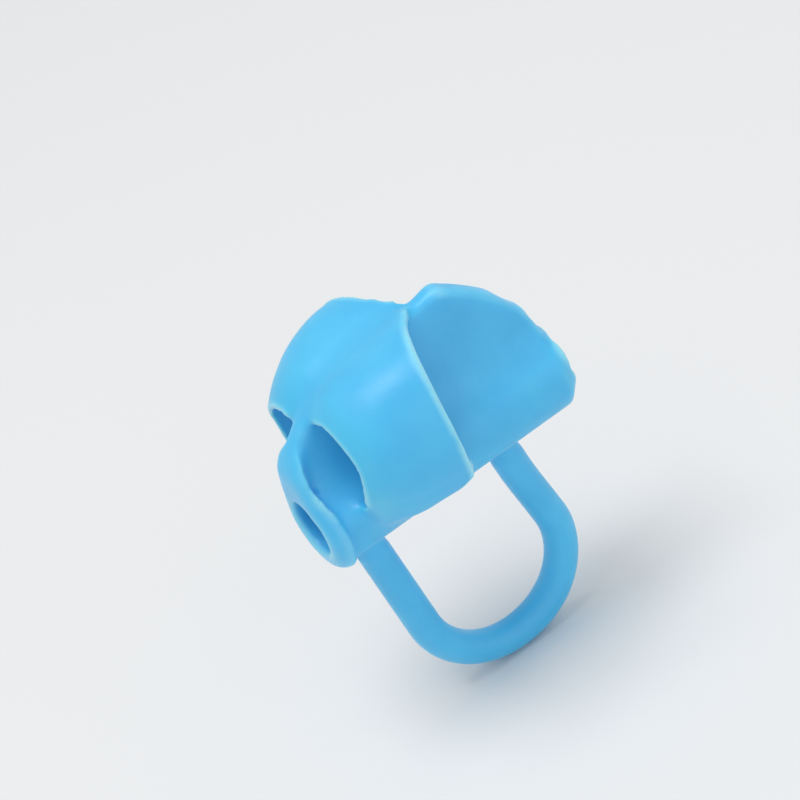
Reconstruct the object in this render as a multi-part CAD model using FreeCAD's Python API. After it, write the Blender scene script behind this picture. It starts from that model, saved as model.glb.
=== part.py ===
"""Soft writing grip with two finger hoods and a hanging finger ring, in millimetres.

The bore lies along X with its nose towards -X, and the hoods stand above it towards +Z.
The parts are drawn from the rear end of the grip, and are then moved so that the origin is
where the plain bore begins, in front of its lobed mouth.
The grip is one moulding, so its members meet face to face. The one member that moves
freely is the ring, which swings about the line of its two roots.
"""
import FreeCAD, Part
import math
import os

# Bore and sleeve
bore_radius = 3.6
sleeve_wall = 1.0
grip_length = 35.6
lobe_count = 6
lobe_depth = 0.3
lobe_length = 1.2

# Spine: the ridge behind the hoods, the web between them and the keel below the bore
spine_rear = 0.4
web_half_width = 1.7
keel_wall = 0.7
keel_drop = 0.6
finger_fillet = 8.0
crest_round = 1.2
end_round = 0.9

# Nose collar, which starts at the front of the spine and ends in front of the sleeve
collar_length = 1.9
nose_overhang = 0.4
nose_flare = 0.4
collar_lip = 0.5
collar_ridge = 2.4
nose_drop = 3.4
nose_round = 1.9
scoop_radius = 9.0
scoop_depth = 0.8
scoop_height = 6.5

spine_front = grip_length - collar_length
sleeve_radius = bore_radius + sleeve_wall
keel_radius = sleeve_radius + keel_wall

# The crest's side view is a chain of arcs, each tangent to the one behind it. These are their
# ends, as (distance from the rear end of the grip, height).
crest_rise = 56.8
CREST = (
    (spine_rear, 8.8),
    (8.8, 17.6),
    (12.0, 18.5),
    (19.3, 18.0),
    (spine_front - 8.4, 16.8),
    (spine_front, 11.7),
)

# Finger hoods: a slightly tapered pocket on a toed-in axis, with a dome over the fingertip
hood_radius = 10.2
hood_wall = 1.15
hood_taper = 5.6
hood_out = 4.65
hood_up = 8.35
hood_toe = 3.3
hood_dip = 3.7
hood_setback = 2.7
dome_reach = 7.6
edge_thinning = 1.05
mouth_at_ridge = 13.0
mouth_at_side = 19.3
mouth_sag = 0.9

hood_front = spine_front - hood_setback

# Finger ring
ring_wire_radius = 1.9
ring_half_span = 9.9
ring_leg_length = 13.0
ring_setback = 3.3
ring_lean = 6.4
hinge_drop = 0.7
hinge_radius = 2.3
hinge_gap = 0.1

ring_centre = ring_half_span + ring_setback - spine_front
hinge_height = -(keel_drop + keel_radius + hinge_drop)

ORIGIN = FreeCAD.Vector(0, 0, 0)
AXIS_X = FreeCAD.Vector(1, 0, 0)
AXIS_Y = FreeCAD.Vector(0, 1, 0)
AXIS_Z = FreeCAD.Vector(0, 0, 1)
FAR = 60.0


def bar_x(radius, start, length, z=0.0):
    """A round bar along X from start."""
    return Part.makeCylinder(radius, length, FreeCAD.Vector(start, 0, z), AXIS_X)


def slab_x(front, rear):
    """Everything between two places along the bore."""
    return Part.makeBox(rear - front, 2 * FAR, 2 * FAR, FreeCAD.Vector(front, -FAR, -FAR))


def at(y, z):
    """A place in the plane across the bore."""
    return FreeCAD.Vector(0, y, z)


def finger_section():
    """The section of the spine: upright web, a hollow for each finger, round keel."""
    web = web_half_width
    reach = web + finger_fillet
    hollow_z = math.sqrt((keel_radius + finger_fillet) ** 2 - reach ** 2) - keel_drop
    ratio = keel_radius / (keel_radius + finger_fillet)
    meet_y = reach * ratio
    meet_z = (hollow_z + keel_drop) * ratio - keel_drop
    lean = math.atan2(hollow_z - meet_z, reach - meet_y) / 2
    mid_y = reach - finger_fillet * math.cos(lean)
    mid_z = hollow_z - finger_fillet * math.sin(lean)
    keel = Part.Arc(at(meet_y, meet_z), at(0, -keel_drop - keel_radius), at(-meet_y, meet_z))
    edges = [
        Part.makeLine(at(-web, FAR), at(web, FAR)),
        Part.makeLine(at(web, FAR), at(web, hollow_z)),
        Part.Arc(at(web, hollow_z), at(mid_y, mid_z), at(meet_y, meet_z)).toShape(),
        keel.toShape(),
        Part.Arc(at(-meet_y, meet_z), at(-mid_y, mid_z), at(-web, hollow_z)).toShape(),
        Part.makeLine(at(-web, hollow_z), at(-web, FAR)),
    ]
    return Part.Face(Part.Wire(edges))


def teardrop_section():
    """The section of the collar: a round under the bore with straight flanks up to the ridge."""
    radius = keel_radius + collar_lip
    rise = CREST[-1][1] + collar_lip + keel_drop
    slope = math.acos(radius / math.hypot(collar_ridge, rise)) + math.atan2(collar_ridge, rise)
    ridge_y, ridge_z = collar_ridge, rise - keel_drop
    meet_y = radius * math.sin(slope)
    meet_z = radius * math.cos(slope) - keel_drop
    keel = Part.Arc(at(meet_y, meet_z), at(0, -keel_drop - radius), at(-meet_y, meet_z))
    return Part.Face(Part.Wire([
        Part.makeLine(at(-ridge_y, ridge_z), at(ridge_y, ridge_z)),
        Part.makeLine(at(ridge_y, ridge_z), at(meet_y, meet_z)),
        keel.toShape(),
        Part.makeLine(at(-meet_y, meet_z), at(-ridge_y, ridge_z)),
    ]))


def side_plate(top_edges):
    """A plate across the bore whose top edge is the given chain of edges, from rear to front."""
    first, last = top_edges[0].Vertexes[0].Point, top_edges[-1].Vertexes[-1].Point
    low_first = FreeCAD.Vector(first.x, 0, -FAR)
    low_last = FreeCAD.Vector(last.x, 0, -FAR)
    wire = Part.Wire(top_edges + [
        Part.makeLine(last, low_last),
        Part.makeLine(low_last, low_first),
        Part.makeLine(low_first, first),
    ])
    plate = Part.Face(wire).extrude(AXIS_Y * 2 * FAR)
    plate.translate(AXIS_Y * -FAR)
    return plate


def crest_arcs():
    """The arcs of the crest's side view, from rear to front."""
    places = [FreeCAD.Vector(-place, 0, height) for place, height in CREST]
    heading = math.radians(crest_rise)
    arcs = []
    for start, end in zip(places, places[1:]):
        chord = math.atan2(end.z - start.z, start.x - end.x)
        turn = chord - heading
        bulge = start.distanceToPoint(end) / 2 * math.tan(turn / 2)
        middle = (start + end) * 0.5 - FreeCAD.Vector(math.sin(chord), 0, math.cos(chord)) * bulge
        arcs.append(Part.Arc(start, middle, end).toShape())
        heading = chord + turn
    return arcs


def ridge_edges(shape):
    """The edges along the top of a ridge, where it meets the two sides."""
    return [edge for edge in shape.Edges
            if edge.BoundBox.ZMin > keel_radius + collar_lip and edge.BoundBox.XLength > 1
            and edge.BoundBox.YLength < 1]


def end_edges(shape, x):
    """The edges that lie wholly in the plane across the bore at x."""
    return [edge for edge in shape.Edges
            if abs(edge.BoundBox.XMin - x) < 0.01 and abs(edge.BoundBox.XMax - x) < 0.01]


def spine_solid():
    """The spine before the sleeve is taken out of it."""
    spine = finger_section().extrude(AXIS_X * -FAR).common(side_plate(crest_arcs()))
    spine = spine.makeFillet(crest_round, ridge_edges(spine))
    return spine.makeFillet(end_round, end_edges(spine, -spine_rear))


def collar_solid():
    """The nose collar round the sleeve, which stands a lip proud of the keel and flanks."""
    crest = CREST[-1][1]
    front = -grip_length - nose_overhang
    top = Part.makeLine(FreeCAD.Vector(-spine_front, 0, crest), FreeCAD.Vector(front, 0, crest - nose_drop))
    collar = teardrop_section().extrude(AXIS_X * -FAR).common(side_plate([top]))
    collar = collar.makeFillet(nose_round, ridge_edges(collar) + end_edges(collar, front))
    mouth = bar_x(bore_radius + nose_flare, -FAR, FAR)
    return collar.cut(bar_x(sleeve_radius, -grip_length, FAR)).cut(mouth).cut(fingertip_scoops())


def fingertip_scoops():
    """The shallow hollow behind each flank of the collar, where a fingertip shows."""
    place = FreeCAD.Vector(scoop_radius - scoop_depth - spine_front, web_half_width, scoop_height)
    scoop = Part.makeCylinder(scoop_radius, FAR, place, AXIS_Y)
    return scoop.fuse(scoop.mirror(ORIGIN, AXIS_Y))


def lobed_mouth():
    """The scalloped entry at the rear end of the bore, which centres a six-sided shaft."""
    lobe_radius = bore_radius * math.sin(math.pi / lobe_count)
    lobes = []
    for step in range(lobe_count):
        lobe = bar_x(lobe_radius, -lobe_length, lobe_length + 1, bore_radius + lobe_depth - lobe_radius)
        lobe.rotate(ORIGIN, AXIS_X, 360 * step / lobe_count)
        lobes.append(lobe)
    return lobes[0].multiFuse(lobes[1:])


def sleeve_solid():
    """The tube that stretches over the shaft."""
    tube = bar_x(sleeve_radius, -grip_length, grip_length)
    return tube.cut(bar_x(bore_radius, -grip_length - 1, grip_length + 2)).cut(lobed_mouth())


def hood_form(inset, forward=0.0):
    """The outer form of the hood on the +Y side, or its cavity where inset is the wall.

    forward moves the dome towards the fingertip, which thins the front edge of the wall.
    """
    taper = math.radians(hood_taper)
    waist = hood_radius - inset / math.cos(taper)
    reach = mouth_at_side - hood_front - 1
    dome_x = mouth_at_side - hood_front + dome_reach - forward
    dome = (waist + dome_x * math.tan(taper)) * math.cos(taper)

    def on_dome(x):
        return FreeCAD.Vector(x, 0, math.sqrt(dome ** 2 - (x - dome_x) ** 2))

    rear, front = FreeCAD.Vector(mouth_at_side, 0, 0), FreeCAD.Vector(reach, 0, 0)
    wide = FreeCAD.Vector(mouth_at_side, 0, waist + mouth_at_side * math.tan(taper))
    start, end = on_dome(dome_x - dome * math.sin(taper)), on_dome(reach)
    edges = [
        Part.makeLine(rear, wide),
        Part.makeLine(wide, start),
        Part.Arc(start, on_dome((start.x + reach) / 2), end).toShape(),
        Part.makeLine(end, front),
        Part.makeLine(front, rear),
    ]
    form = Part.Face(Part.Wire(edges)).revolve(ORIGIN, AXIS_X, 360)
    form.rotate(ORIGIN, AXIS_Y, -hood_dip)
    form.rotate(ORIGIN, AXIS_Z, hood_toe)
    form.translate(FreeCAD.Vector(-mouth_at_side, hood_out, hood_up))
    return form


def beyond_y(y_from):
    """Everything beyond y_from on the +Y side."""
    return Part.makeBox(2 * FAR, FAR, 2 * FAR, FreeCAD.Vector(-FAR, y_from, -FAR))


def mouth_cutter():
    """Everything behind the hood's mouth, which slants forward from the ridge to its side."""
    ridge = FreeCAD.Vector(-mouth_at_ridge, 0, -FAR)
    side = FreeCAD.Vector(-mouth_at_side, hood_out + hood_radius, -FAR)
    across = (side - ridge).normalize()
    middle = (ridge + side) * 0.5 + FreeCAD.Vector(-across.y, across.x, 0) * mouth_sag
    corners = [side, FreeCAD.Vector(side.x, FAR, -FAR), FreeCAD.Vector(FAR, FAR, -FAR),
               FreeCAD.Vector(FAR, 0, -FAR), ridge]
    edges = [Part.Arc(ridge, middle, side).toShape()]
    edges += [Part.makeLine(a, b) for a, b in zip(corners, corners[1:])]
    return Part.Face(Part.Wire(edges)).extrude(AXIS_Z * 2 * FAR)


def hood_solid():
    """The shell over the finger on the +Y side, open behind and in front."""
    shell = hood_form(0.0).common(beyond_y(0.0)).common(slab_x(-hood_front, 0.0))
    cavity = hood_form(hood_wall, edge_thinning).common(beyond_y(web_half_width))
    return shell.cut(cavity).cut(mouth_cutter())


def seated_on_hinge(shape):
    """A shape drawn about the ring's top middle, leant back and moved to its place."""
    shape.rotate(ORIGIN, AXIS_Y, -ring_lean)
    shape.translate(FreeCAD.Vector(ring_centre, 0, hinge_height))
    return shape


def ring_legs(low, high):
    """The two straight legs of the ring, between two heights about its top."""
    return [Part.makeCylinder(ring_wire_radius, high - low, FreeCAD.Vector(x, 0, low), AXIS_Z)
            for x in (-ring_half_span, ring_half_span)]


def ring_bar():
    """The whole bent bar of the ring, with both legs run up to the hinge line."""
    start = FreeCAD.Vector(ring_half_span, 0, -ring_leg_length)
    disc = Part.Face(Part.Wire(Part.makeCircle(ring_wire_radius, start, AXIS_Z)))
    bend = disc.revolve(FreeCAD.Vector(0, 0, -ring_leg_length), AXIS_Y, 180)
    return seated_on_hinge(bend.multiFuse(ring_legs(-ring_leg_length, 0)).removeSplitter())


def hinge_drum(radius):
    """A bar along the line that the ring swings about."""
    return bar_x(radius, -FAR, 2 * FAR, hinge_height)


def root_stubs():
    """The two round roots under the keel, which end on the hinge drum's round."""
    stubs = seated_on_hinge(Part.makeCompound(ring_legs(-hinge_radius - 1, hinge_radius)))
    below = Part.makeBox(2 * FAR, 2 * FAR, FAR, FreeCAD.Vector(-FAR, -FAR, hinge_height - FAR))
    return stubs.cut(below.cut(hinge_drum(hinge_radius)))


def build_parts():
    """All the members of the grip, by name."""
    spine = spine_solid()
    sleeve = bar_x(sleeve_radius, -FAR, 2 * FAR)
    index_hood = hood_solid().cut(spine).cut(sleeve)
    return {
        "bore_sleeve": sleeve_solid(),
        "spine": spine.fuse(root_stubs()).cut(sleeve),
        "nose_collar": collar_solid(),
        "index_hood": index_hood,
        "thumb_hood": index_hood.mirror(ORIGIN, AXIS_Y),
        "finger_ring": ring_bar().cut(hinge_drum(hinge_radius + hinge_gap)),
    }


os.makedirs("parts", exist_ok=True)
for name, shape in build_parts().items():
    shape.translate(AXIS_X * lobe_length)
    print(name, shape.isValid(), len(shape.Solids), round(shape.Volume, 1))
    shape.exportStep("parts/%s.step" % name)
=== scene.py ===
"""A soft silicone writing grip, dressed for the photograph's view on a plain pale floor.

The CAD frame gives every size and place. The real grip is one moulding, so one continuous skin is
drawn over the frame's members.
"""
import logging
import math
from collections.abc import Iterator
from dataclasses import dataclass, field
from enum import Enum
from typing import Any, Optional, Union

import bpy
import numpy as np
from mathutils import Matrix, Vector


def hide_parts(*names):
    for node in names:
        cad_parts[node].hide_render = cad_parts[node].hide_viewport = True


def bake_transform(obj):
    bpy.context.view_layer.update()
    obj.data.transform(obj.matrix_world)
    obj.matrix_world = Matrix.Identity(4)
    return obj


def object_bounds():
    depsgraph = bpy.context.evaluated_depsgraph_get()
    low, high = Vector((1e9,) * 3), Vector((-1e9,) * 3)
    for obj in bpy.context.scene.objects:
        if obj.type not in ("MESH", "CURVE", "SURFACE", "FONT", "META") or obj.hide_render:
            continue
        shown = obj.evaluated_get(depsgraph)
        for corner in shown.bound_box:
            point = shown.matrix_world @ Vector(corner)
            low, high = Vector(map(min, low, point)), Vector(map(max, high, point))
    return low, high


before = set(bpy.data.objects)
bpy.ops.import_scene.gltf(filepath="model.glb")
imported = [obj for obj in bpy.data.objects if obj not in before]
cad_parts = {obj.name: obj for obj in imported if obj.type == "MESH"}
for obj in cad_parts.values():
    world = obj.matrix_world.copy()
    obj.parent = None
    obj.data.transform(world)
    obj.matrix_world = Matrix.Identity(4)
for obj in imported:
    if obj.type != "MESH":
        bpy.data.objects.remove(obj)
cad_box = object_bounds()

MM = 0.001
LOG = logging.getLogger("writing_grip")
Colour = tuple[float, float, float, float]
Place = tuple[float, float, float]
Fade = tuple[float, float]
"""Where a soft step starts and ends."""


class Body(Enum):
    """The moving bodies of the frame."""

    GRIP = "grip"
    RING = "ring"


class Slot(Enum):
    """The record's material slots."""

    SILICONE = "silicone"


class Side(Enum):
    """The sides that a stroke goes to, which is drawn for the index finger's side."""

    BOTH = (1, -1)
    AS_DRAWN = (1,)
    MIRRORED = (-1,)


def deselect_all() -> None:
    """Leaves nothing selected, because an operator acts on all that is."""
    for item in bpy.context.selected_objects:
        item.select_set(False)


def make_active(piece: bpy.types.Object) -> None:
    """Selects one piece alone and makes it the active one.

    Args:
        piece: The object that the next operators act on.
    """
    deselect_all()
    piece.select_set(True)
    bpy.context.view_layer.objects.active = piece


def smooth_step(low: float, high: float, value: np.ndarray) -> np.ndarray:
    """A soft step from 0 to 1.

    Args:
        low: Where the step starts. It may be the larger, and the step then falls.
        high: Where the step ends.
        value: The values to read it at.

    Returns:
        The step at each value.
    """
    t = np.clip((value - low) / (high - low), 0.0, 1.0)
    return t * t * (3.0 - 2.0 * t)


class Surface:
    """A closed mesh whose points are moved in code, as by a sculptor's smoothing tool."""

    STEP_IN = 0.5
    STEP_OUT = -0.53
    FILL_LIFT = 0.9
    FILL_SLIDE = 0.3
    SHORTEST_STROKE = 1e-12

    def __init__(self, mesh: bpy.types.Mesh) -> None:
        """Reads the mesh.

        Args:
            mesh: The mesh that is shaped.
        """
        self.mesh = mesh
        self.points = np.empty(len(mesh.vertices) * 3)
        mesh.vertices.foreach_get("co", self.points)
        self.points = self.points.reshape(-1, 3)
        ends = np.empty(len(mesh.edges) * 2, dtype=np.int32)
        mesh.edges.foreach_get("vertices", ends)
        self.first, self.second = ends.reshape(-1, 2).T
        self.valence = np.bincount(ends, minlength=len(self.points))[:, None]

    def spread(self, values: np.ndarray) -> np.ndarray:
        """The mean of each point's neighbours.

        Args:
            values: One row for each point.

        Returns:
            One row for each point.
        """
        total = np.empty_like(values)
        for column in range(values.shape[1]):
            row = values[:, column]
            total[:, column] = np.bincount(self.first, row[self.second], len(row))
            total[:, column] += np.bincount(self.second, row[self.first], len(row))
        return total / self.valence

    def normals(self) -> np.ndarray:
        """The outward direction at each point."""
        self.store()
        found = np.empty(len(self.points) * 3, dtype=np.float32)
        self.mesh.vertex_normals.foreach_get("vector", found)
        return found.reshape(-1, 3).astype(float)

    def relax(self, rounds: int, hold: Union[float, np.ndarray] = 1.0) -> None:
        """Smooths without shrinking, by a step in and a slightly longer step out.

        Args:
            rounds: How many pairs of steps.
            hold: How strongly each point takes part, from 0 to 1, as one column.
        """
        for _ in range(rounds):
            for step in (self.STEP_IN, self.STEP_OUT):
                self.points += step * hold * (self.spread(self.points) - self.points)

    def fill_hollows(self, rounds: int, hold: np.ndarray) -> None:
        """Rounds the inside corners by adding to them, and leaves outside corners as they are.

        Args:
            rounds: How many steps.
            hold: How strongly each point takes part, from 0 to 1.
        """
        for _ in range(rounds):
            normals = self.normals()
            pull = self.spread(self.points) - self.points
            lift = np.sum(pull * normals, axis=1, keepdims=True)
            slide = pull - lift * normals
            move = self.FILL_LIFT * np.maximum(lift, 0.0) * normals + self.FILL_SLIDE * slide
            self.points += hold[:, None] * move

    def soften(self, rounds: int, hold: np.ndarray) -> None:
        """Melts corners down.

        Args:
            rounds: How many steps.
            hold: How strongly each point takes part, from 0 to 1.
        """
        for _ in range(rounds):
            pull = self.spread(self.points) - self.points
            self.points += self.STEP_IN * hold[:, None] * pull

    def near(self, start: np.ndarray, end: np.ndarray, reach: float) -> np.ndarray:
        """How much a soft round brush takes hold of each point.

        Args:
            start: One end of the brush's stroke, in millimetres.
            end: The other end. It may be the same place.
            reach: The brush's radius, in millimetres.

        Returns:
            1 on the stroke, falling to 0 at the brush's radius.
        """
        first = start * MM
        stroke = end * MM - first
        away = self.points - first
        length = max(float(stroke @ stroke), self.SHORTEST_STROKE)
        away -= np.clip(away @ stroke / length, 0.0, 1.0)[:, None] * stroke
        far = np.linalg.norm(away, axis=1) / (reach * MM)
        return np.clip(1.0 - far * far, 0.0, 1.0) ** 2

    def sharpness(self, rounds: int) -> np.ndarray:
        """How sharply each point stands out, spread over its neighbours.

        Args:
            rounds: How far it is spread.

        Returns:
            One value for each point, in millimetres, above 0 on edges and below 0 in creases.
        """
        pull = self.spread(self.points) - self.points
        value = -np.sum(pull * self.normals(), axis=1, keepdims=True)
        for _ in range(rounds):
            value = self.spread(value)
        return value[:, 0] / MM

    def store(self) -> None:
        """Writes the points back to the mesh."""
        self.mesh.vertices.foreach_set("co", self.points.ravel())
        self.mesh.update()


@dataclass(frozen=True)
class Stroke:
    """Where a soft round brush goes, in millimetres, drawn for the index finger's side."""

    name: str
    start: Place
    reach: float
    end: Optional[Place] = field(default=None, kw_only=True)
    side: Side = field(default=Side.BOTH, kw_only=True)

    def holds(self, surface: Surface) -> Iterator[tuple[np.ndarray, np.ndarray]]:
        """Takes hold of the skin on one side after the other.

        Args:
            surface: The skin's points.

        Yields:
            The side's mirror, as a factor for each axis, and how much each point is held.
        """
        for side in self.side.value:
            LOG.debug("%s, side %d", self.name, side)
            mirror = np.array((1.0, side, 1.0))
            end = self.end or self.start
            yield mirror, surface.near(mirror * self.start, mirror * end, self.reach)


@dataclass(frozen=True)
class Push(Stroke):
    """A stroke that moves the skin."""

    move: Place


@dataclass(frozen=True)
class Rub(Stroke):
    """A stroke that is gone over again and again, to melt a corner or to fill a hollow."""

    rounds: int


class Socket:
    """A value in a material's node tree, with the usual operators."""

    def __init__(self, nodes: "Nodes", link: Optional[bpy.types.NodeSocket]) -> None:
        """Wraps a socket.

        Args:
            nodes: The tree that new nodes go into.
            link: The socket that holds the value, or None for a node that gives nothing.
        """
        self.nodes = nodes
        self.link = link

    def _math(self, operation: str, first: Any, second: Any) -> "Socket":
        """A Math node on two values."""
        return self.nodes.add("ShaderNodeMath", {"operation": operation}, {0: first, 1: second})

    def __add__(self, other: Any) -> "Socket":
        """self + other."""
        return self._math("ADD", self, other)

    __radd__ = __add__

    def __sub__(self, other: Any) -> "Socket":
        """self - other."""
        return self._math("SUBTRACT", self, other)

    def __rsub__(self, other: Any) -> "Socket":
        """other - self."""
        return self._math("SUBTRACT", other, self)

    def __mul__(self, other: Any) -> "Socket":
        """self * other."""
        return self._math("MULTIPLY", self, other)

    __rmul__ = __mul__

    def step(self, low: float, high: float) -> "Socket":
        """A soft step from 0 at low to 1 at high."""
        return self.nodes.add(
            "ShaderNodeMapRange",
            {"interpolation_type": "SMOOTHSTEP"},
            {"Value": self, "From Min": low, "From Max": high},
        )


class Nodes:
    """A material's node tree, and the one way in which nodes are made in it."""

    def __init__(self, name: str) -> None:
        """Makes a material with an empty tree.

        Args:
            name: The material's name.
        """
        self.material = bpy.data.materials.new(name)
        self.material.use_nodes = True
        self.tree = self.material.node_tree
        self.tree.nodes.clear()

    def add(
        self,
        kind: str,
        settings: dict[str, Any],
        inputs: dict[Union[str, int], Any],
        output: Union[str, int] = 0,
    ) -> Socket:
        """Adds one node.

        Args:
            kind: The node's type.
            settings: What is set on the node first.
            inputs: The values or sockets of its inputs.
            output: Which of its outputs is wanted.

        Returns:
            That output.
        """
        node = self.tree.nodes.new(kind)
        for key, value in settings.items():
            setattr(node, key, value)
        for key, value in inputs.items():
            if isinstance(value, Socket):
                self.tree.links.new(value.link, node.inputs[key])
            else:
                node.inputs[key].default_value = value
        return Socket(self, node.outputs[output] if node.outputs else None)

    def mix(self, factor: Any, first: Any, second: Any) -> Socket:
        """A mix of two colours.

        Args:
            factor: 0 gives the first and 1 the second.
            first: A colour or a colour socket.
            second: A colour or a colour socket.

        Returns:
            The mixed colour.
        """
        return self.add(
            "ShaderNodeMix", {"data_type": "RGBA"}, {"Factor": factor, 6: first, 7: second}, 2
        )

    def noise(self, place: Socket, scale: float, detail: float) -> Socket:
        """A noise from 0 to 1 in the object's own coordinates.

        Args:
            place: The coordinates.
            scale: Waves in a metre.
            detail: How many finer layers it has.

        Returns:
            The noise.
        """
        return self.add(
            "ShaderNodeTexNoise", {}, {"Vector": place, "Scale": scale, "Detail": detail}
        )

    def cells(self, place: Socket, scale: float, output: str) -> Socket:
        """A pattern of cells, each round one point.

        Args:
            place: The coordinates.
            scale: Cells in a metre.
            output: "Distance" from the cell's point, or the cell's own random "Color".

        Returns:
            That output.
        """
        return self.add("ShaderNodeTexVoronoi", {}, {"Vector": place, "Scale": scale}, output)


@dataclass(frozen=True)
class SatinSilicone:
    """Moulded silicone: satin, slightly see-through, with a painted highlight along its edges and
    a fine moulded skin.
    """

    deep: Colour = (0.045, 0.490, 0.830, 1.0)
    plain: Colour = (0.060, 0.535, 0.865, 1.0)
    # Painted highlight: the lighter blue that the thin edges are mixed towards.
    painted_edge_highlight: Colour = (0.280, 0.700, 0.910, 1.0)
    speck: Colour = (0.020, 0.120, 0.260, 1.0)
    mottle_scale: float = 160.0
    mottle_detail: float = 3.0
    mottle_step: Fade = (0.3, 0.7)
    grain_scale: float = 2600.0
    grain_detail: float = 2.0
    speck_scale: float = 190.0
    speck_size: float = 0.045
    speck_chance: Fade = (0.965, 0.97)
    speck_depth: float = 0.75
    bump_share: float = 0.5
    bump_strength: float = 0.25
    bump_height: float = 0.12 * MM
    roughness: float = 0.42
    roughness_grain: float = 0.12
    refraction: float = 1.5
    gloss: float = 0.8
    glow: float = 0.6
    glow_radius: Place = (0.3, 0.8, 1.0)
    glow_depth: float = 2.2 * MM
    sheen: float = 0.3
    sheen_roughness: float = 0.35
    sheen_tint: Colour = (0.82, 0.82, 1.0, 1.0)

    def make(self) -> bpy.types.Material:
        """Builds the material.

        Returns:
            The material.
        """
        nodes = Nodes("satin_silicone")
        place = nodes.add("ShaderNodeTexCoord", {}, {}, "Object")
        mottle = nodes.noise(place, self.mottle_scale, self.mottle_detail)
        grain = nodes.noise(place, self.grain_scale, self.grain_detail)
        height = grain * self.bump_share + mottle * self.bump_share
        bump = nodes.add(
            "ShaderNodeBump",
            {},
            {"Strength": self.bump_strength, "Distance": self.bump_height, "Height": height},
        )
        shader = nodes.add(
            "ShaderNodeBsdfPrincipled",
            {},
            {
                "Base Color": self._colour(nodes, place, mottle),
                "Roughness": grain * self.roughness_grain + self.roughness,
                "IOR": self.refraction,
                "Specular IOR Level": self.gloss,
                "Subsurface Weight": self.glow,
                "Subsurface Radius": self.glow_radius,
                "Subsurface Scale": self.glow_depth,
                "Sheen Weight": self.sheen,
                "Sheen Roughness": self.sheen_roughness,
                "Sheen Tint": self.sheen_tint,
                "Normal": bump,
            },
        )
        nodes.add("ShaderNodeOutputMaterial", {}, {"Surface": shader})
        return nodes.material

    def _colour(self, nodes: Nodes, place: Socket, mottle: Socket) -> Socket:
        """The mottled blue, with a painted highlight along thin edges, and a few dark specks.

        Args:
            nodes: The material's tree.
            place: The coordinates.
            mottle: The noise that the blue follows.

        Returns:
            The colour.
        """
        edge = nodes.add("ShaderNodeAttribute", {"attribute_name": "edge"}, {}, "Fac")
        distance = nodes.cells(place, self.speck_scale, "Distance")
        own_colour = nodes.cells(place, self.speck_scale, "Color")
        lot = nodes.add("ShaderNodeSeparateColor", {}, {"Color": own_colour}, "Red")
        dot = 1 - distance.step(self.speck_size * 0.5, self.speck_size)
        speck = dot * lot.step(*self.speck_chance)
        body = nodes.mix(mottle.step(*self.mottle_step), self.deep, self.plain)
        # Painted highlight: the marked edges are mixed towards the lighter blue.
        with_painted_edge_highlight = nodes.mix(edge, body, self.painted_edge_highlight)
        return nodes.mix(speck * self.speck_depth, with_painted_edge_highlight, self.speck)


@dataclass(frozen=True)
class PaleFloor:
    """The plain matt floor under the grip."""

    colour: Colour = (0.80, 0.81, 0.82, 1.0)
    roughness: float = 0.8

    def make(self) -> bpy.types.Material:
        """Builds the material.

        Returns:
            The material.
        """
        nodes = Nodes("pale_floor")
        shader = nodes.add(
            "ShaderNodeBsdfPrincipled",
            {},
            {"Base Color": self.colour, "Roughness": self.roughness},
        )
        nodes.add("ShaderNodeOutputMaterial", {}, {"Surface": shader})
        return nodes.material


@dataclass(frozen=True)
class HoodForm:
    """A hood's outer form in the solids: a cone, with a dome over the fingertip."""

    axis_at: Place = (-18.1 * MM, 4.65 * MM, 8.35 * MM)
    toe: float = 3.3
    dip: float = 3.7
    taper: float = 5.6
    radius: float = 10.2 * MM
    dome_at: float = -4.1 * MM

    @property
    def line(self) -> np.ndarray:
        """The direction of the axis on the index finger's side."""
        dip = Matrix.Rotation(-math.radians(self.dip), 3, "Y")
        toe = Matrix.Rotation(math.radians(self.toe), 3, "Z")
        return np.array((toe @ dip) @ Vector((1.0, 0.0, 0.0)))

    @property
    def slope(self) -> float:
        """How much the cone's radius grows with its length."""
        return math.tan(math.radians(self.taper))

    def section(self, x: np.ndarray) -> tuple[np.ndarray, np.ndarray, np.ndarray]:
        """The round that the form shows in a cut across the bore.

        Args:
            x: Where each cut is, along the bore.

        Returns:
            How far the round's middle is to the side, its height, and its radius.
        """
        line = self.line
        along = (x - self.axis_at[0]) / line[0]
        past_dome = np.minimum(along - self.dome_at, 0.0)
        cone = self.radius + np.maximum(along, self.dome_at) * self.slope
        radius = np.sqrt(np.maximum(cone ** 2 - past_dome ** 2, 0.0))
        return self.axis_at[1] + along * line[1], self.axis_at[2] + along * line[2], radius

    def beyond(self, points: np.ndarray) -> np.ndarray:
        """How far each point stands outside the form on its side.

        Args:
            points: Places in the frame.

        Returns:
            The distances in millimetres, below 0 inside the form.
        """
        line = self.line
        mirrored = points * (1.0, 0.0, 1.0) + np.abs(points) * (0.0, 1.0, 0.0)
        away = mirrored - np.array(self.axis_at)
        along = np.maximum(away @ line, self.dome_at)
        form = self.radius + along * self.slope
        return (np.linalg.norm(away - along[:, None] * line, axis=1) - form) / MM


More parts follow.
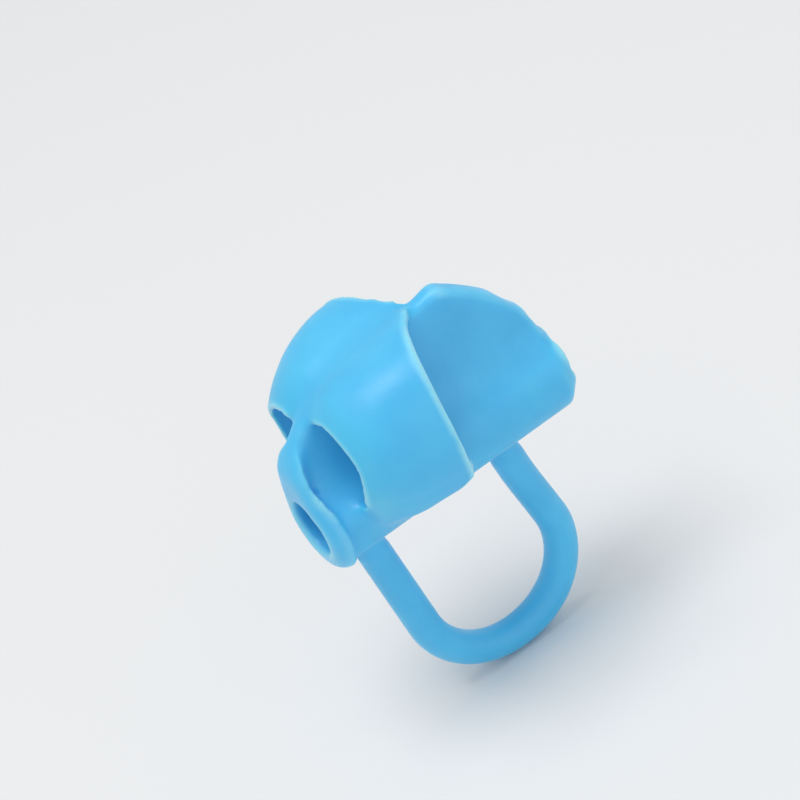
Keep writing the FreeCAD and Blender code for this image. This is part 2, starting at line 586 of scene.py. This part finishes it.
@dataclass(frozen=True)
class FlankWrap:
    """The skin stretched straight from the underside of each hood to the keel.

    In each cut across the bore the hood and the keel are near enough two rounds, and the
    crease between them is moved out to the line that touches both. Fades are in millimetres,
    apart from those of the line's ends, which are in parts of the line's length.
    """

    keel_radius: float = 5.3 * MM
    keel_centre: float = -0.6 * MM
    most: float = 2.2 * MM
    clear_of_solid: Fade = (-0.8, -0.4)
    hood_end: Fade = (-0.05, 0.05)
    keel_end: Fade = (1.05, 0.95)
    front: Fade = (-29.6, -28.0)
    front_slant: float = 1.2
    rear: Fade = (-16.2, -17.6)

    def apply(self, surface: Surface, hood: HoodForm) -> None:
        """Moves the creases out.

        Args:
            surface: The skin's points.
            hood: The form of the hoods.
        """
        x, y, z = surface.points.T
        centre_y, centre_z, hood_radius = hood.section(x)
        down_y, down_z = -centre_y, self.keel_centre - centre_z
        apart = np.hypot(down_y, down_z)
        tilt = np.arccos(np.clip((hood_radius - self.keel_radius) / apart, -1.0, 1.0))
        turn = np.arctan2(down_z, down_y) + tilt
        out_y, out_z = np.cos(turn), np.sin(turn)
        level = out_z * self.keel_centre + self.keel_radius
        across = np.abs(y)
        short = level - (out_y * across + out_z * z)
        first = -out_z * centre_y + out_y * centre_z
        last = out_y * self.keel_centre
        place = ((-out_z * across + out_y * z) - first) / (last - first)
        beyond_keel = (np.hypot(across, z - self.keel_centre) - self.keel_radius) / MM
        outside = smooth_step(*self.clear_of_solid, hood.beyond(surface.points))
        outside *= smooth_step(*self.clear_of_solid, beyond_keel)
        between = smooth_step(*self.hood_end, place) * smooth_step(*self.keel_end, place)
        slanted = x / MM + self.front_slant * np.clip(place, 0.0, 1.0)
        span = smooth_step(*self.front, slanted) * smooth_step(*self.rear, x / MM)
        step = outside * between * span * np.clip(short, 0.0, self.most)
        surface.points[:, 1] += step * out_y * np.sign(y)
        surface.points[:, 2] += step * out_z


@dataclass(frozen=True)
class HollowFill:
    """The hoods run smoothly into the barrel, and into the ridge between them.

    Fades are in millimetres.
    """

    clear_of_hood: Fade = (-0.7, -0.3)
    before_mouth: Fade = (-12.4, -14.0)
    flank_front: Fade = (-31.9, -31.2)
    flank_top: Fade = (7.0, 4.0)
    above_ring: Fade = (-5.6, -4.6)
    flank_rounds: int = 110
    ridge_front: Fade = (-32.4, -31.6)
    ridge_foot: Fade = (9.0, 11.0)
    ridge_rounds: int = 120
    pit: Rub = Rub("pit behind the collar", (-32.0, 3.6, 5.2), 2.0, 33)
    pit_hold: float = 2.0
    root_top: Fade = (-5.2, -5.7)
    root_foot: Fade = (-8.2, -7.2)
    root_rounds: int = 10
    last_rounds: int = 3

    def apply(self, surface: Surface, hood: HoodForm) -> None:
        """Fills the hollows.

        Args:
            surface: The skin's points.
            hood: The form of the hoods.
        """
        x, _, z = (surface.points / MM).T
        outside = smooth_step(*self.clear_of_hood, hood.beyond(surface.points))
        before_mouth = smooth_step(*self.before_mouth, x)
        flank = before_mouth * smooth_step(*self.flank_front, x) * smooth_step(*self.flank_top, z)
        flank_hold = outside * flank * smooth_step(*self.above_ring, z)
        surface.fill_hollows(self.flank_rounds, flank_hold)
        ridge = before_mouth * smooth_step(*self.ridge_front, x) * smooth_step(*self.ridge_foot, z)
        surface.fill_hollows(self.ridge_rounds, outside * ridge)
        for _, hold in self.pit.holds(surface):
            surface.fill_hollows(self.pit.rounds, np.minimum(self.pit_hold * hold, 1.0))
        roots = smooth_step(*self.root_top, z) * smooth_step(*self.root_foot, z)
        surface.fill_hollows(self.root_rounds, roots)
        surface.fill_hollows(self.last_rounds, np.ones(len(z)))


@dataclass(frozen=True)
class EndShape:
    """The leaning rear face, the lobed lip of the bore, and the ring's swell and spread.

    Fades are in millimetres.
    """

    ring_swell: float = 0.18 * MM
    swell_down: Fade = (-5.5, -8.0)
    ring_spread: float = 0.55 * MM
    spread_down: Fade = (-9.0, -20.0)
    spread_back: Fade = (-22.0, -11.0)
    rear_lean: float = 0.6 * MM
    lean_up: Fade = (5.0, 9.0)
    lean_back: Fade = (-3.0, 0.0)
    lobes: int = 6
    lobe_reach: float = 0.25 * MM
    lip_back: Fade = (0.3, 1.1)
    lip_round: Fade = (5.6, 4.8)
    lip_up: Fade = (-3.5, -1.0)

    def apply(self, surface: Surface) -> None:
        """Shapes the rear end and the ring.

        Args:
            surface: The skin's points.
        """
        normals = surface.normals()
        x, y, z = (surface.points / MM).T
        swell = smooth_step(*self.swell_down, z)
        surface.points += normals * (self.ring_swell * swell)[:, None]
        spread = smooth_step(*self.spread_down, z) * smooth_step(*self.spread_back, x)
        lean = smooth_step(*self.lean_up, z) * smooth_step(*self.lean_back, x)
        lip = smooth_step(*self.lip_back, x) * smooth_step(*self.lip_round, np.hypot(y, z))
        lip *= smooth_step(*self.lip_up, z)
        lobe = np.abs(np.cos(self.lobes / 2 * np.arctan2(y, z)))
        surface.points[:, 0] += (
            self.ring_spread * spread - self.rear_lean * lean + self.lobe_reach * lip * lobe
        )


@dataclass(frozen=True)
class ThinEdge:
    """The thin and sharp edges, which are even, a little fuller than the rest, and given a painted
    highlight.

    Fades are in millimetres of sharpness.
    """

    even_spread: int = 6
    even_from: Fade = (0.002, 0.010)
    even_rounds: int = 50
    mark_spread: int = 10
    mark_from: Fade = (0.005, 0.020)
    bead: float = 0.1 * MM

    def even(self, surface: Surface) -> None:
        """Takes out the fine steps that the remesh leaves along thin edges.

        Args:
            surface: The skin's points.
        """
        sharp = surface.sharpness(self.even_spread)
        surface.relax(self.even_rounds, smooth_step(*self.even_from, sharp)[:, None])

    def mark(self, surface: Surface) -> None:
        """Beads the thin edges and stores where they are, for the painted highlight along them.

        Args:
            surface: The skin's points.
        """
        # The strength of the painted edge highlight, which also sets the bead.
        painted_edge_highlight = smooth_step(*self.mark_from, surface.sharpness(self.mark_spread))
        mark = surface.mesh.attributes.new("edge", "FLOAT", "POINT")
        mark.data.foreach_set("value", painted_edge_highlight.astype(np.float32))
        surface.points += surface.normals() * (self.bead * painted_edge_highlight)[:, None]


@dataclass
class SiliconeSkin:
    """The whole moulding as one closed skin over all six members."""

    name: str = "silicone_skin"
    voxel: float = 0.27 * MM
    root_radius: float = 1.9 * MM
    root_length: float = 5.0 * MM
    root_drop: float = 2.0 * MM
    root_sides: int = 64
    ring_centre: float = -19.3 * MM
    ring_half_span: float = 9.9 * MM
    ring_lean: float = 6.4
    hinge_height: float = -6.6 * MM
    bend_start: float = -5.9 * MM
    bend_end: float = -10.5 * MM
    voxel_relax: int = 14
    corner_relax: int = 4
    last_relax: int = 8
    hood: HoodForm = HoodForm()
    wrap: FlankWrap = FlankWrap()
    fill: HollowFill = HollowFill()
    ends: EndShape = EndShape()
    edges: ThinEdge = ThinEdge()
    pushes: tuple[Push, ...] = (
        Push("shoulder", (-20.5, 10.0, 16.4), 7.0, (0.0, 0.5, 0.75)),
        Push("rim top", (-12.5, 3.5, 18.3), 5.0, (0.0, 0.0, -0.35)),
        Push("crest front", (-11.0, 1.5, 18.4), 3.5, (0.0, -0.3, -0.5)),
        Push("flank", (-17.5, 10.0, 0.2), 4.5, (0.0, 0.3, -0.45), end=(-27.0, 9.0, 0.8)),
        Push("rim corner", (-16.4, 10.4, -0.4), 2.6, (-0.55, -0.35, 0.3)),
        Push("near window's edge", (-29.8, 5.0, 13.4), 5.5, (0.75, 0.0, 0.1),
             end=(-29.8, 9.6, 10.4), side=Side.MIRRORED),
        Push("far window's edge", (-29.8, 3.0, 13.0), 5.5, (-0.45, 0.0, -0.7),
             end=(-29.8, 8.5, 12.5), side=Side.AS_DRAWN),
    )
    melts: tuple[Rub, ...] = (
        Rub("rim's lower end", (-16.6, 10.2, -0.4), 3.2, 90),
        Rub("window's foot", (-29.5, 7.8, 3.2), 2.0, 25, end=(-29.3, 4.8, 1.6)),
        Rub("rim's head", (-13.5, 3.0, 18.8), 1.8, 20, end=(-19.0, 8.0, 17.8)),
        Rub("lip's underside", (0.9, -3.6, -3.6), 2.6, 40, end=(0.9, 3.6, -3.6),
            side=Side.AS_DRAWN),
        Rub("collar's brow", (-34.3, -1.6, 8.4), 4.2, 60, end=(-34.3, 1.6, 8.4),
            side=Side.AS_DRAWN),
        Rub("ridge's foot", (-32.3, -2.0, 11.5), 2.6, 40, end=(-32.3, 2.0, 11.5),
            side=Side.AS_DRAWN),
    )

    def build(self) -> bpy.types.Object:
        """Makes the skin and hides the frame's members.

        Returns:
            The finished piece.
        """
        skin = self._joined()
        self._remesh(skin)
        self._sculpt(Surface(skin.data))
        skin.data.shade_smooth()
        skin.data.materials.clear()
        skin.data.materials.append(SatinSilicone().make())
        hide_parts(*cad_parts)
        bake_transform(skin)
        return skin

    def _sculpt(self, surface: Surface) -> None:
        """Gives the melted members the real moulding's soft form.

        Args:
            surface: The skin's points.
        """
        surface.relax(self.voxel_relax)
        self.wrap.apply(surface, self.hood)
        self.fill.apply(surface, self.hood)
        self._push(surface)
        self.ends.apply(surface)
        self._melt(surface)
        self.edges.even(surface)
        surface.relax(self.corner_relax)
        self.edges.mark(surface)
        surface.relax(self.last_relax)
        surface.store()

    def _joined(self) -> bpy.types.Object:
        """Copies the members and bridges the gap at each root of the ring.

        Returns:
            One object that holds them all.
        """
        copies = [self._root(side) for side in (-1, 1)]
        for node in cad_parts.values():
            copy = bpy.data.objects.new(self.name, node.data.copy())
            bpy.context.scene.collection.objects.link(copy)
            copies.append(copy)
        deselect_all()
        for copy in copies:
            copy.select_set(True)
        bpy.context.view_layer.objects.active = copies[-1]
        bpy.ops.object.join()
        skin = bpy.context.view_layer.objects.active
        skin.name = skin.data.name = self.name
        return skin

    def _root(self, side: int) -> bpy.types.Object:
        """A short round bar inside one root of the ring, across the hinge.

        Args:
            side: -1 for the front root and 1 for the rear one.

        Returns:
            The bar.
        """
        middle = Matrix.Translation((self.ring_centre, 0.0, self.hinge_height))
        lean = Matrix.Rotation(-math.radians(self.ring_lean), 4, "Y")
        leg = Matrix.Translation((side * self.ring_half_span, 0.0, -self.root_drop))
        deselect_all()
        bpy.ops.mesh.primitive_cylinder_add(
            vertices=self.root_sides, radius=self.root_radius, depth=self.root_length
        )
        bar = bpy.context.view_layer.objects.active
        bar.data.transform(middle @ lean @ leg)
        return bar

    def _remesh(self, skin: bpy.types.Object) -> None:
        """Melts the members into one closed mesh.

        Args:
            skin: The joined members.
        """
        make_active(skin)
        remesh = skin.modifiers.new("melt", "REMESH")
        remesh.mode = "VOXEL"
        remesh.voxel_size = self.voxel
        bpy.ops.object.modifier_apply(modifier=remesh.name)

    def _push(self, surface: Surface) -> None:
        """Pushes the skin to the real one's fuller and flatter places, all at once.

        Args:
            surface: The skin's points.
        """
        moves = np.zeros_like(surface.points)
        for push in self.pushes:
            for mirror, hold in push.holds(surface):
                moves += hold[:, None] * mirror * push.move * MM
        surface.points += moves

    def _melt(self, surface: Surface) -> None:
        """Rounds the corners that the real moulding doesn't have.

        Args:
            surface: The skin's points.
        """
        for melt in self.melts:
            for _, hold in melt.holds(surface):
                surface.soften(melt.rounds, hold)


@dataclass(frozen=True)
class Lamp:
    """A soft square lamp, placed by parts of the picture's own directions."""

    name: str
    up: float
    right: float
    back: float
    size: float
    power: float


@dataclass
class Studio:
    """The floor, the lamps and the camera at the photograph's viewing angle."""

    picture_right: Place = (0.7920, -0.4814, -0.3736)
    to_camera: Place = (-0.2334, -0.8061, 0.5437)
    picture_middle: Place = (-15.96552, 6.92214, 2.8932)
    picture_width: float = 94.8 * MM
    distance: float = 0.79
    clip: Fade = (0.01, 10.0)
    floor_gap: float = 0.2 * MM
    floor_half: float = 1.5
    white: Colour = (1.0, 1.0, 1.0, 1.0)
    world_strength: float = 0.6
    lamp_distance: float = 0.7
    lamps: tuple[Lamp, ...] = (
        Lamp("key", up=0.65, right=-0.5, back=0.6, size=0.4, power=2.5),
        Lamp("fill", up=0.0, right=0.5, back=0.9, size=0.6, power=0.65),
        Lamp("rim", up=0.5, right=0.5, back=-0.5, size=0.4, power=0.5),
    )

    def __post_init__(self) -> None:
        """Squares the picture's own directions to one another."""
        self.back = Vector(self.to_camera).normalized()
        self.up = self.back.cross(Vector(self.picture_right).normalized()).normalized()
        self.right = self.up.cross(self.back).normalized()
        self.middle = Vector(self.picture_middle) * MM

    def build(self) -> None:
        """Makes everything that stands round the grip."""
        self._floor()
        self._camera()
        self._world()
        for lamp in self.lamps:
            self._lamp(lamp)

    def _floor(self) -> None:
        """A wide floor just under the lowest point of the grip."""
        deselect_all()
        bpy.ops.mesh.primitive_plane_add(size=2 * self.floor_half)
        floor = bpy.context.view_layer.objects.active
        floor.name = "floor"
        level = cad_box[0].z - self.floor_gap
        floor.data.transform(Matrix.Translation((0.0, 0.0, level)))
        floor.data.materials.append(PaleFloor().make())

    def _camera(self) -> None:
        """A long lens from the photograph's side."""
        data = bpy.data.cameras.new("camera")
        data.lens = data.sensor_width * self.distance / self.picture_width
        data.clip_start, data.clip_end = self.clip
        camera = bpy.data.objects.new("camera", data)
        bpy.context.scene.collection.objects.link(camera)
        turn = Matrix((self.right, self.up, self.back)).transposed()
        place = Matrix.Translation(self.middle + self.back * self.distance)
        camera.matrix_world = place @ turn.to_4x4()
        bpy.context.scene.camera = camera

    def _world(self) -> None:
        """An even, dim white all round."""
        world = bpy.data.worlds.new("studio")
        world.use_nodes = True
        light = world.node_tree.nodes["Background"]
        light.inputs["Color"].default_value = self.white
        light.inputs["Strength"].default_value = self.world_strength
        bpy.context.scene.world = world

    def _lamp(self, lamp: Lamp) -> None:
        """Hangs one lamp, so that it looks at the grip.

        Args:
            lamp: Its place, size in metres and power in watts.
        """
        data = bpy.data.lights.new(lamp.name, "AREA")
        data.size, data.energy = lamp.size, lamp.power
        item = bpy.data.objects.new(lamp.name, data)
        bpy.context.scene.collection.objects.link(item)
        towards = self.up * lamp.up + self.right * lamp.right + self.back * lamp.back
        direction = towards.normalized()
        item.location = self.middle + direction * self.lamp_distance
        item.rotation_mode = "QUATERNION"
        item.rotation_quaternion = (-direction).to_track_quat("-Z", "Y")


def main() -> None:
    """Builds the grip and its studio."""
    logging.basicConfig(level=logging.INFO)
    skin = SiliconeSkin().build()
    LOG.info("%s has %d points", skin.name, len(skin.data.vertices))
    Studio().build()
    bpy.context.scene.view_settings.view_transform = "Standard"


if __name__ == "__main__":
    main()
